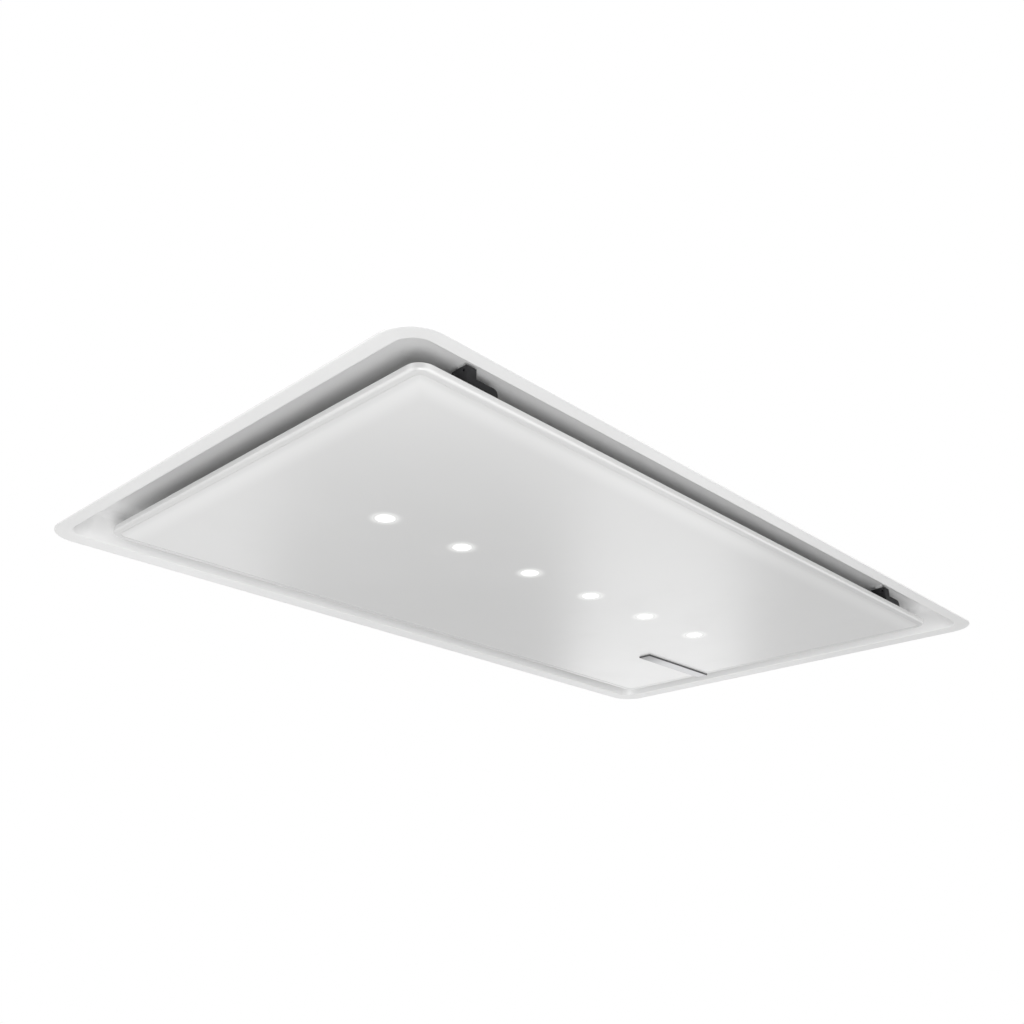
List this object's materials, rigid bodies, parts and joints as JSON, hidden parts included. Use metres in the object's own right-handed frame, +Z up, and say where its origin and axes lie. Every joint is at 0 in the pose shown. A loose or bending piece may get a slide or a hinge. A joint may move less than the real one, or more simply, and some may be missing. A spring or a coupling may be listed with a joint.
{
  "type": "ceiling range hood",
  "caption": "Ceiling range hood with a hinged panel that leaves an intake gap all round, a row of lamps, drop-out baffle filters and a centrifugal blower with a flapped side outlet.",
  "frame": {"origin": "centre of the ceiling opening, on the plane where the flange rests against the ceiling", "axes": "+X along the long side towards the duct outlet, +Y towards the hinged long side, +Z up into the ceiling"},
  "size_m": [1.2, 0.7, 0.3002],
  "materials": {
    "frame_paint": "satin white powder coat",
    "panel_paint": "satin white powder coat",
    "panel_glass": "white back-lacquered glass, opaque",
    "backing_sheet": "primed steel sheet",
    "lamp_lens": "frosted lamp lens",
    "lamp_heat_sink": "extruded aluminium",
    "plate_metal": "fine brushed",
    "galvanised_sheet": "galvanised steel",
    "zinc_screws": "zinc plated",
    "black_bracket": "black powder coat",
    "magnet_housing": "white, moulded",
    "hinge_steel": "zinc plated, satin",
    "spring_steel": "tempered spring steel",
    "filter_metal": "brushed and anodised",
    "handle_wire": "polished",
    "rubber_foot": "matt black",
    "wheel_steel": "galvanised steel",
    "motor_alloy": "cast alloy",
    "bearing_steel": "ground steel",
    "lamination": "stacked sheet with windings",
    "rotor_steel": "turned steel",
    "duct_plastic": "black moulded",
    "flap_plastic": "light grey moulded",
    "box_plastic": "light grey moulded",
    "board": "circuit board with parts",
    "gland_plastic": "black moulded",
    "driver_plastic": "white moulded"
  },
  "bodies": {
    "hood": {"ceiling_frame": "frame_paint", "filter_plate": "galvanised_sheet", "filter_clips": "spring_steel", "casing_shell": "galvanised_sheet", "frame_screws": "zinc_screws", "suspension_bracket_front_left": "galvanised_sheet", "suspension_bracket_front_right": "galvanised_sheet", "suspension_bracket_rear_left": "galvanised_sheet", "suspension_bracket_rear_right": "galvanised_sheet", "suspension_screws": "zinc_screws", "blower_box": "galvanised_sheet", "blower_box_lid": "galvanised_sheet", "box_screws": "zinc_screws", "scroll_housing": "galvanised_sheet", "scroll_cover": "galvanised_sheet", "inlet_ring": "galvanised_sheet", "blower_mounts": "rubber_foot", "motor_housing": "motor_alloy", "motor_bearings": "bearing_steel", "motor_stator": "lamination", "outlet_transition": "galvanised_sheet", "outlet_spigot": "duct_plastic", "flap_spindle": "hinge_steel", "control_box": "box_plastic", "control_box_cover": "box_plastic", "control_board": "board", "cable_gland": "gland_plastic", "led_driver": "driver_plastic", "hinge_base_left": "hinge_steel", "hinge_base_right": "hinge_steel", "hinge_pins": "hinge_steel", "catch_magnets": "magnet_housing"},
    "panel": {"panel_frame": "panel_paint", "panel_glass": "panel_glass", "panel_backing": "backing_sheet", "led_lens_1": "lamp_lens", "led_lens_2": "lamp_lens", "led_lens_3": "lamp_lens", "led_lens_4": "lamp_lens", "led_lens_5": "lamp_lens", "led_lens_6": "lamp_lens", "led_modules": "lamp_heat_sink", "trim_plate": "plate_metal", "hinge_arm_left": "hinge_steel", "hinge_arm_right": "hinge_steel", "catch_bracket_left": "black_bracket", "catch_bracket_right": "black_bracket"},
    "wheel": {"impeller": "wheel_steel", "motor_rotor": "rotor_steel"},
    "flap_front": {"flap_front": "flap_plastic"},
    "flap_rear": {"flap_rear": "flap_plastic"},
    "filter_left": {"filter_frame_left": "filter_metal", "filter_baffles_left": "filter_metal"},
    "handle_left": {"filter_handle_left": "handle_wire"},
    "filter_middle": {"filter_frame_middle": "filter_metal", "filter_baffles_middle": "filter_metal"},
    "handle_middle": {"filter_handle_middle": "handle_wire"},
    "filter_right": {"filter_frame_right": "filter_metal", "filter_baffles_right": "filter_metal"},
    "handle_right": {"filter_handle_right": "handle_wire"}
  },
  "joints": [
    {"name": "panel_swing", "type": "hinge", "parent": "hood", "child": "panel", "pos_m": [0, 0.3, 0.007], "axis": [1, 0, 0], "range_deg": [0, 90]},
    {"name": "filter_drop_left", "type": "slide", "parent": "hood", "child": "filter_left", "axis": [0, 0, -1], "range_m": [0, 0.016]},
    {"name": "handle_fold_left", "type": "hinge", "parent": "filter_left", "child": "handle_left", "pos_m": [-0.328, -0.1978, 0.0405], "axis": [-1, 0, 0], "range_deg": [0, 90], "stiffness_Nm_per_rad": 0.01, "springref_deg": -34.38},
    {"name": "filter_drop_middle", "type": "slide", "parent": "hood", "child": "filter_middle", "axis": [0, 0, -1], "range_m": [0, 0.016]},
    {"name": "handle_fold_middle", "type": "hinge", "parent": "filter_middle", "child": "handle_middle", "pos_m": [0, -0.1978, 0.0405], "axis": [-1, 0, 0], "range_deg": [0, 90], "stiffness_Nm_per_rad": 0.01, "springref_deg": -34.38},
    {"name": "filter_drop_right", "type": "slide", "parent": "hood", "child": "filter_right", "axis": [0, 0, -1], "range_m": [0, 0.016]},
    {"name": "handle_fold_right", "type": "hinge", "parent": "filter_right", "child": "handle_right", "pos_m": [0.328, -0.1978, 0.0405], "axis": [-1, 0, 0], "range_deg": [0, 90], "stiffness_Nm_per_rad": 0.01, "springref_deg": -34.38},
    {"name": "wheel_spin", "type": "hinge", "parent": "hood", "child": "wheel", "pos_m": [-0.04, 0.03, 0.17], "axis": [0, 0, 1], "continuous": true},
    {"name": "flap_front_swing", "type": "hinge", "parent": "hood", "child": "flap_front", "pos_m": [0.288, -0.142, 0.19], "axis": [0, 0, 1], "range_deg": [0, 80], "stiffness_Nm_per_rad": 0.004, "springref_deg": -20.05},
    {"name": "flap_rear_swing", "type": "hinge", "parent": "hood", "child": "flap_rear", "pos_m": [0.288, -0.142, 0.19], "axis": [0, 0, -1], "range_deg": [0, 80], "stiffness_Nm_per_rad": 0.004, "springref_deg": -20.05}
  ]
}
